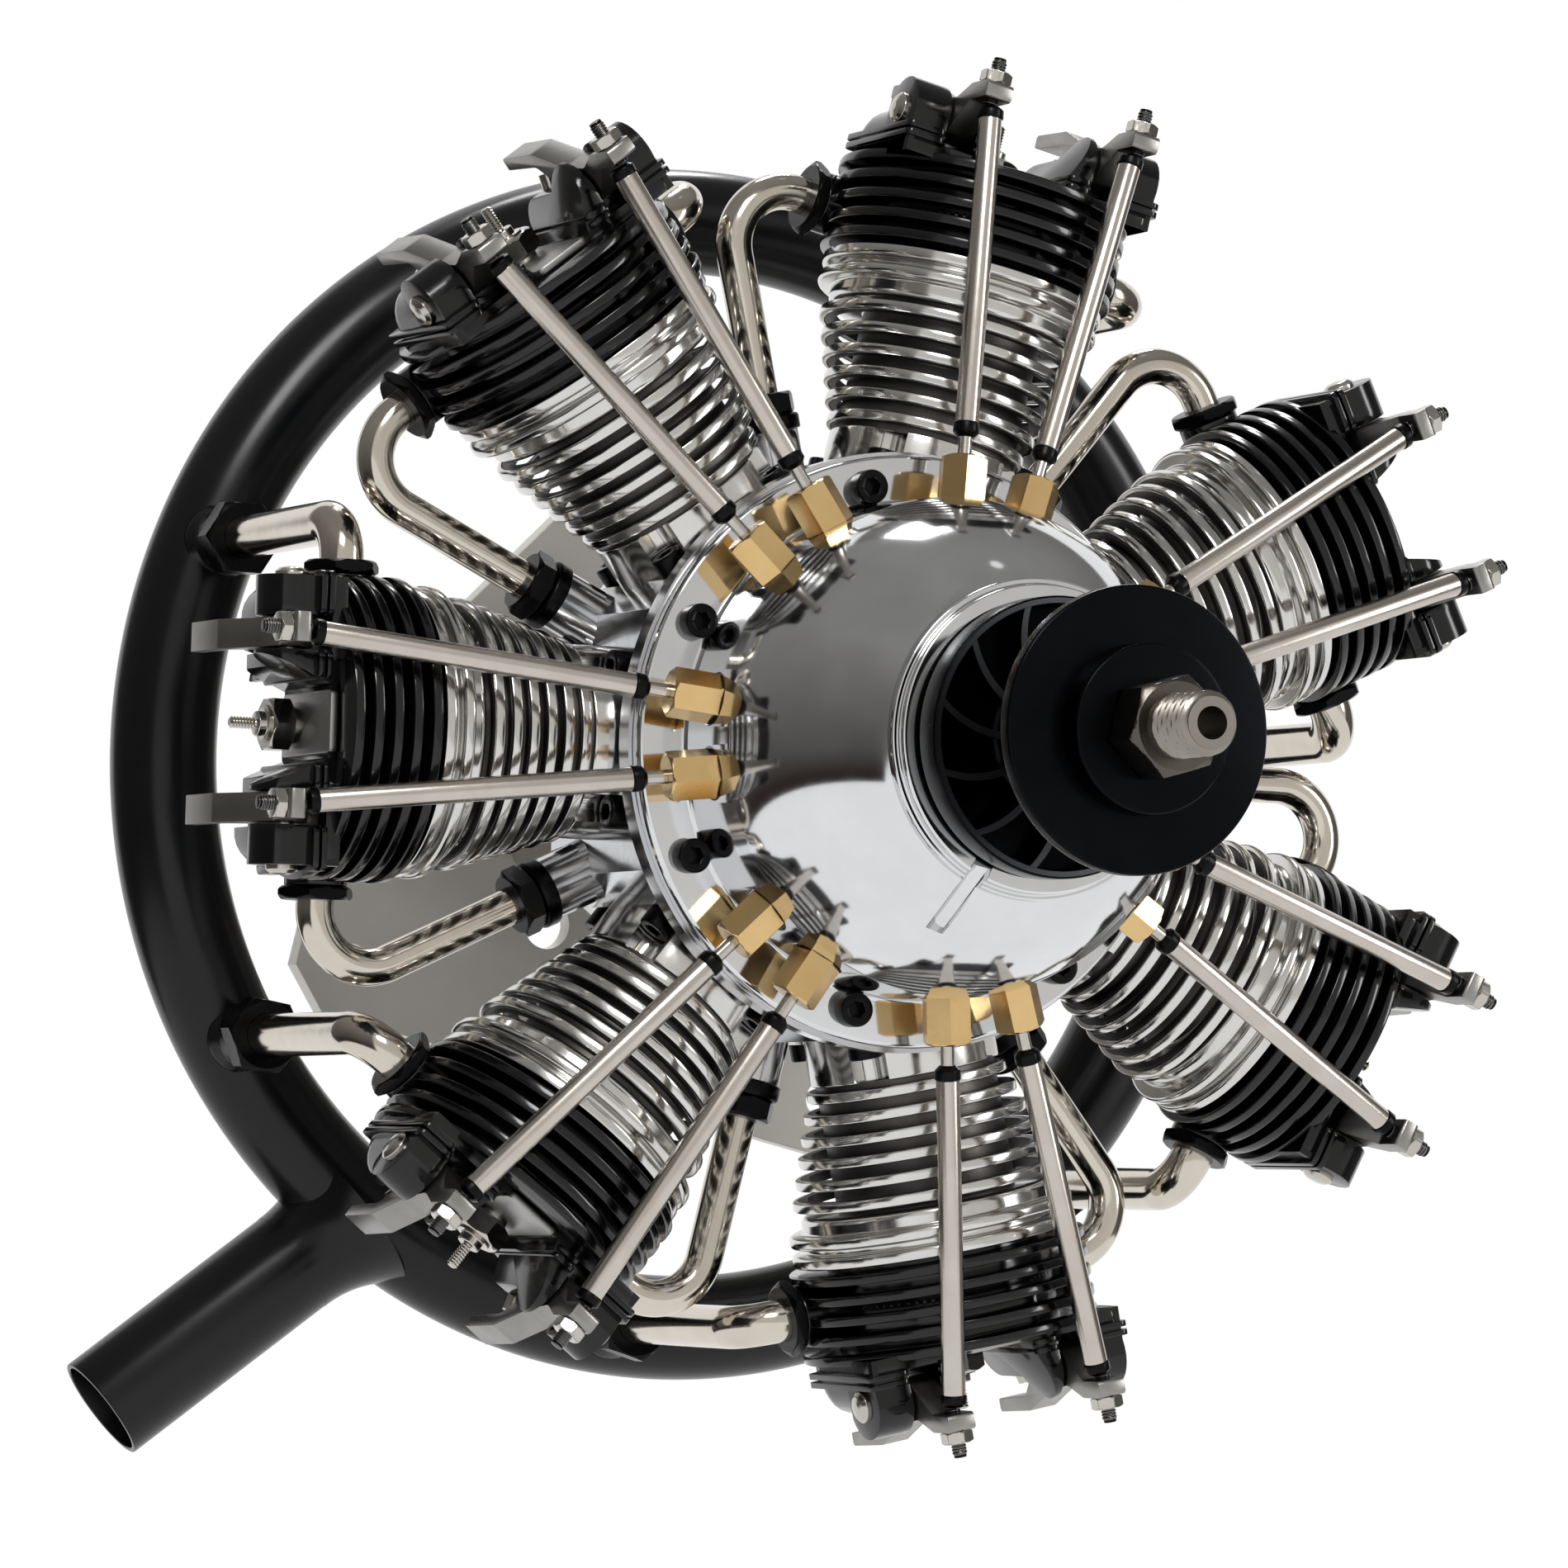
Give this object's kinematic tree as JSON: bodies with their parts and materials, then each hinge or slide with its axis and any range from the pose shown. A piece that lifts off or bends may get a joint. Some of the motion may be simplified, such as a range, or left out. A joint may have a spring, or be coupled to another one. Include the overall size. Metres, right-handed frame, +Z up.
{
  "type": "radial aircraft engine",
  "caption": "Single-row radial engine with finned cylinders, exposed pushrods and rockers, a domed nose, a prop driver, an exhaust collector ring and a flat mount plate.",
  "frame": {"origin": "centre of the mount plate's rear face, on the crank axis", "axes": "-Y along the crank axis towards the propeller, +Z up along the axis of cylinder 1, +X to the right seen from the front"},
  "size_m": [0.2242, 0.2087, 0.2456],
  "materials": {
    "plate_aluminium": "satin",
    "steel_plain": "turned",
    "polished_aluminium": "polished",
    "cast_aluminium": "machined",
    "black_anodised": "satin",
    "black_paint": "satin",
    "stainless": "polished",
    "brass": "machined",
    "rocker_steel": "satin"
  },
  "bodies": {
    "engine": {"mount_plate": "plate_aluminium", "standoffs": "steel_plain", "induction_housing": "polished_aluminium", "carburettor_body": "cast_aluminium", "needle_valve": "steel_plain", "crankcase": "polished_aluminium", "front_case": "polished_aluminium", "main_bearings": "steel_plain", "cylinder_barrels": "polished_aluminium", "cylinder_heads": "black_anodised", "rocker_pins": "steel_plain", "valves": "steel_plain", "glow_plugs": "steel_plain", "intake_pipes": "stainless", "exhaust_elbows": "stainless", "pipe_nuts": "black_anodised", "tappet_guides": "brass", "exhaust_ring": "black_paint", "cap_screws": "black_anodised"},
    "crank": {"crankshaft": "steel_plain", "prop_driver": "black_anodised", "prop_washer": "steel_plain", "prop_nut": "steel_plain"},
    "cam": {"cam_ring": "cast_aluminium"},
    "throttle": {"throttle_barrel": "cast_aluminium"},
    "pushrod_1_intake": {"pushrod_1_intake": "stainless"},
    "rocker_1_intake": {"rocker_1_intake": "rocker_steel"},
    "pushrod_1_exhaust": {"pushrod_1_exhaust": "stainless"},
    "rocker_1_exhaust": {"rocker_1_exhaust": "rocker_steel"},
    "pushrod_2_intake": {"pushrod_2_intake": "stainless"},
    "rocker_2_intake": {"rocker_2_intake": "rocker_steel"},
    "pushrod_2_exhaust": {"pushrod_2_exhaust": "stainless"},
    "rocker_2_exhaust": {"rocker_2_exhaust": "rocker_steel"},
    "pushrod_3_intake": {"pushrod_3_intake": "stainless"},
    "rocker_3_intake": {"rocker_3_intake": "rocker_steel"},
    "pushrod_3_exhaust": {"pushrod_3_exhaust": "stainless"},
    "rocker_3_exhaust": {"rocker_3_exhaust": "rocker_steel"},
    "pushrod_4_intake": {"pushrod_4_intake": "stainless"},
    "rocker_4_intake": {"rocker_4_intake": "rocker_steel"},
    "pushrod_4_exhaust": {"pushrod_4_exhaust": "stainless"},
    "rocker_4_exhaust": {"rocker_4_exhaust": "rocker_steel"},
    "pushrod_5_intake": {"pushrod_5_intake": "stainless"},
    "rocker_5_intake": {"rocker_5_intake": "rocker_steel"},
    "pushrod_5_exhaust": {"pushrod_5_exhaust": "stainless"},
    "rocker_5_exhaust": {"rocker_5_exhaust": "rocker_steel"},
    "pushrod_6_intake": {"pushrod_6_intake": "stainless"},
    "rocker_6_intake": {"rocker_6_intake": "rocker_steel"},
    "pushrod_6_exhaust": {"pushrod_6_exhaust": "stainless"},
    "rocker_6_exhaust": {"rocker_6_exhaust": "rocker_steel"},
    "pushrod_7_intake": {"pushrod_7_intake": "stainless"},
    "rocker_7_intake": {"rocker_7_intake": "rocker_steel"},
    "pushrod_7_exhaust": {"pushrod_7_exhaust": "stainless"},
    "rocker_7_exhaust": {"rocker_7_exhaust": "rocker_steel"},
    "piston_1": {"piston_1": "cast_aluminium"},
    "piston_2": {"piston_2": "cast_aluminium"},
    "piston_3": {"piston_3": "cast_aluminium"},
    "piston_4": {"piston_4": "cast_aluminium"},
    "piston_5": {"piston_5": "cast_aluminium"},
    "piston_6": {"piston_6": "cast_aluminium"},
    "piston_7": {"piston_7": "cast_aluminium"}
  },
  "joints": [
    {"name": "crank_turn", "type": "hinge", "parent": "engine", "child": "crank", "pos_m": [0, -0.083, 0], "axis": [0, -1, 0], "continuous": true},
    {"name": "cam_turn", "type": "hinge", "parent": "engine", "child": "cam", "pos_m": [0, -0.1165, 0], "axis": [0, -1, 0], "continuous": true},
    {"name": "throttle_turn", "type": "hinge", "parent": "engine", "child": "throttle", "pos_m": [0, -0.034, 0], "axis": [1, 0, 0], "range_deg": [0, 80]},
    {"name": "lift_1_intake", "type": "slide", "parent": "engine", "child": "pushrod_1_intake", "axis": [-0.111, 0.1209, 0.9864], "range_m": [0, 0.0015], "stiffness_N_per_m": 150, "springref_m": -0.0015},
    {"name": "rock_1_intake", "type": "hinge", "parent": "engine", "child": "rocker_1_intake", "pos_m": [-0.0136, -0.094, 0.102], "axis": [-1, 0, 0], "range_deg": [0, 6.5]},
    {"name": "lift_1_exhaust", "type": "slide", "parent": "engine", "child": "pushrod_1_exhaust", "axis": [0.111, 0.1209, 0.9864], "range_m": [0, 0.0015], "stiffness_N_per_m": 150, "springref_m": -0.0015},
    {"name": "rock_1_exhaust", "type": "hinge", "parent": "engine", "child": "rocker_1_exhaust", "pos_m": [0.0136, -0.094, 0.102], "axis": [-1, 0, 0], "range_deg": [0, 6.5]},
    {"name": "lift_2_intake", "type": "slide", "parent": "engine", "child": "pushrod_2_intake", "axis": [-0.8405, 0.1209, 0.5282], "range_m": [0, 0.0015], "stiffness_N_per_m": 150, "springref_m": -0.0015},
    {"name": "rock_2_intake", "type": "hinge", "parent": "engine", "child": "rocker_2_intake", "pos_m": [-0.08823, -0.094, 0.05296], "axis": [-0.6235, 0, -0.7818], "range_deg": [0, 6.5]},
    {"name": "lift_2_exhaust", "type": "slide", "parent": "engine", "child": "pushrod_2_exhaust", "axis": [-0.702, 0.1209, 0.7018], "range_m": [0, 0.0015], "stiffness_N_per_m": 150, "springref_m": -0.0015},
    {"name": "rock_2_exhaust", "type": "hinge", "parent": "engine", "child": "rocker_2_exhaust", "pos_m": [-0.07127, -0.094, 0.07423], "axis": [-0.6235, 0, -0.7818], "range_deg": [0, 6.5]},
    {"name": "lift_3_intake", "type": "slide", "parent": "engine", "child": "pushrod_3_intake", "axis": [-0.937, 0.1209, -0.3278], "range_m": [0, 0.0015], "stiffness_N_per_m": 150, "springref_m": -0.0015},
    {"name": "rock_3_intake", "type": "hinge", "parent": "engine", "child": "rocker_3_intake", "pos_m": [-0.09642, -0.094, -0.03596], "axis": [0.2225, 0, -0.9749], "range_deg": [0, 6.5]},
    {"name": "lift_3_exhaust", "type": "slide", "parent": "engine", "child": "pushrod_3_exhaust", "axis": [-0.9864, 0.1209, -0.1112], "range_m": [0, 0.0015], "stiffness_N_per_m": 150, "springref_m": -0.0015},
    {"name": "rock_3_exhaust", "type": "hinge", "parent": "engine", "child": "rocker_3_exhaust", "pos_m": [-0.10247, -0.094, -0.00944], "axis": [0.2225, 0, -0.9749], "range_deg": [0, 6.5]},
    {"name": "lift_4_intake", "type": "slide", "parent": "engine", "child": "pushrod_4_intake", "axis": [-0.328, 0.1209, -0.9369], "range_m": [0, 0.0015], "stiffness_N_per_m": 150, "springref_m": -0.0015},
    {"name": "rock_4_intake", "type": "hinge", "parent": "engine", "child": "rocker_4_intake", "pos_m": [-0.032, -0.094, -0.0978], "axis": [0.901, 0, -0.4339], "range_deg": [0, 6.5]},
    {"name": "lift_4_exhaust", "type": "slide", "parent": "engine", "child": "pushrod_4_exhaust", "axis": [-0.528, 0.1209, -0.8406], "range_m": [0, 0.0015], "stiffness_N_per_m": 150, "springref_m": -0.0015},
    {"name": "rock_4_exhaust", "type": "hinge", "parent": "engine", "child": "rocker_4_exhaust", "pos_m": [-0.05651, -0.094, -0.086], "axis": [0.901, 0, -0.4339], "range_deg": [0, 6.5]},
    {"name": "lift_5_intake", "type": "slide", "parent": "engine", "child": "pushrod_5_intake", "axis": [0.528, 0.1209, -0.8406], "range_m": [0, 0.0015], "stiffness_N_per_m": 150, "springref_m": -0.0015},
    {"name": "rock_5_intake", "type": "hinge", "parent": "engine", "child": "rocker_5_intake", "pos_m": [0.05651, -0.094, -0.086], "axis": [0.901, 0, 0.4339], "range_deg": [0, 6.5]},
    {"name": "lift_5_exhaust", "type": "slide", "parent": "engine", "child": "pushrod_5_exhaust", "axis": [0.328, 0.1209, -0.9369], "range_m": [0, 0.0015], "stiffness_N_per_m": 150, "springref_m": -0.0015},
    {"name": "rock_5_exhaust", "type": "hinge", "parent": "engine", "child": "rocker_5_exhaust", "pos_m": [0.032, -0.094, -0.0978], "axis": [0.901, 0, 0.4339], "range_deg": [0, 6.5]},
    {"name": "lift_6_intake", "type": "slide", "parent": "engine", "child": "pushrod_6_intake", "axis": [0.9864, 0.1209, -0.1112], "range_m": [0, 0.0015], "stiffness_N_per_m": 150, "springref_m": -0.0015},
    {"name": "rock_6_intake", "type": "hinge", "parent": "engine", "child": "rocker_6_intake", "pos_m": [0.10247, -0.094, -0.00944], "axis": [0.2225, 0, 0.9749], "range_deg": [0, 6.5]},
    {"name": "lift_6_exhaust", "type": "slide", "parent": "engine", "child": "pushrod_6_exhaust", "axis": [0.937, 0.1209, -0.3278], "range_m": [0, 0.0015], "stiffness_N_per_m": 150, "springref_m": -0.0015},
    {"name": "rock_6_exhaust", "type": "hinge", "parent": "engine", "child": "rocker_6_exhaust", "pos_m": [0.09642, -0.094, -0.03596], "axis": [0.2225, 0, 0.9749], "range_deg": [0, 6.5]},
    {"name": "lift_7_intake", "type": "slide", "parent": "engine", "child": "pushrod_7_intake", "axis": [0.702, 0.1209, 0.7018], "range_m": [0, 0.0015], "stiffness_N_per_m": 150, "springref_m": -0.0015},
    {"name": "rock_7_intake", "type": "hinge", "parent": "engine", "child": "rocker_7_intake", "pos_m": [0.07127, -0.094, 0.07423], "axis": [-0.6235, 0, 0.7818], "range_deg": [0, 6.5]},
    {"name": "lift_7_exhaust", "type": "slide", "parent": "engine", "child": "pushrod_7_exhaust", "axis": [0.8405, 0.1209, 0.5282], "range_m": [0, 0.0015], "stiffness_N_per_m": 150, "springref_m": -0.0015},
    {"name": "rock_7_exhaust", "type": "hinge", "parent": "engine", "child": "rocker_7_exhaust", "pos_m": [0.08823, -0.094, 0.05296], "axis": [-0.6235, 0, 0.7818], "range_deg": [0, 6.5]},
    {"name": "stroke_1", "type": "slide", "parent": "engine", "child": "piston_1", "axis": [0, 0, 1], "range_m": [-0.022, 0]},
    {"name": "stroke_2", "type": "slide", "parent": "engine", "child": "piston_2", "axis": [-0.7818, 0, 0.6235], "range_m": [-0.01723, 0.00477]},
    {"name": "stroke_3", "type": "slide", "parent": "engine", "child": "piston_3", "axis": [-0.9749, 0, -0.2225], "range_m": [-0.00757, 0.01443]},
    {"name": "stroke_4", "type": "slide", "parent": "engine", "child": "piston_4", "axis": [-0.4339, 0, -0.901], "range_m": [-0.0009, 0.0211]},
    {"name": "stroke_5", "type": "slide", "parent": "engine", "child": "piston_5", "axis": [0.4339, 0, -0.901], "range_m": [-0.0009, 0.0211]},
    {"name": "stroke_6", "type": "slide", "parent": "engine", "child": "piston_6", "axis": [0.9749, 0, -0.2225], "range_m": [-0.00757, 0.01443]},
    {"name": "stroke_7", "type": "slide", "parent": "engine", "child": "piston_7", "axis": [0.7818, 0, 0.6235], "range_m": [-0.01723, 0.00477]}
  ],
  "couplings": [
    {"joint": "cam_turn", "follows": "crank_turn", "ratio": -0.16667},
    {"joint": "rock_1_intake", "follows": "lift_1_intake", "rad_per_m": 71.429},
    {"joint": "rock_1_exhaust", "follows": "lift_1_exhaust", "rad_per_m": 71.429},
    {"joint": "rock_2_intake", "follows": "lift_2_intake", "rad_per_m": 71.429},
    {"joint": "rock_2_exhaust", "follows": "lift_2_exhaust", "rad_per_m": 71.429},
    {"joint": "rock_3_intake", "follows": "lift_3_intake", "rad_per_m": 71.429},
    {"joint": "rock_3_exhaust", "follows": "lift_3_exhaust", "rad_per_m": 71.429},
    {"joint": "rock_4_intake", "follows": "lift_4_intake", "rad_per_m": 71.429},
    {"joint": "rock_4_exhaust", "follows": "lift_4_exhaust", "rad_per_m": 71.429},
    {"joint": "rock_5_intake", "follows": "lift_5_intake", "rad_per_m": 71.429},
    {"joint": "rock_5_exhaust", "follows": "lift_5_exhaust", "rad_per_m": 71.429},
    {"joint": "rock_6_intake", "follows": "lift_6_intake", "rad_per_m": 71.429},
    {"joint": "rock_6_exhaust", "follows": "lift_6_exhaust", "rad_per_m": 71.429},
    {"joint": "rock_7_intake", "follows": "lift_7_intake", "rad_per_m": 71.429},
    {"joint": "rock_7_exhaust", "follows": "lift_7_exhaust", "rad_per_m": 71.429}
  ]
}
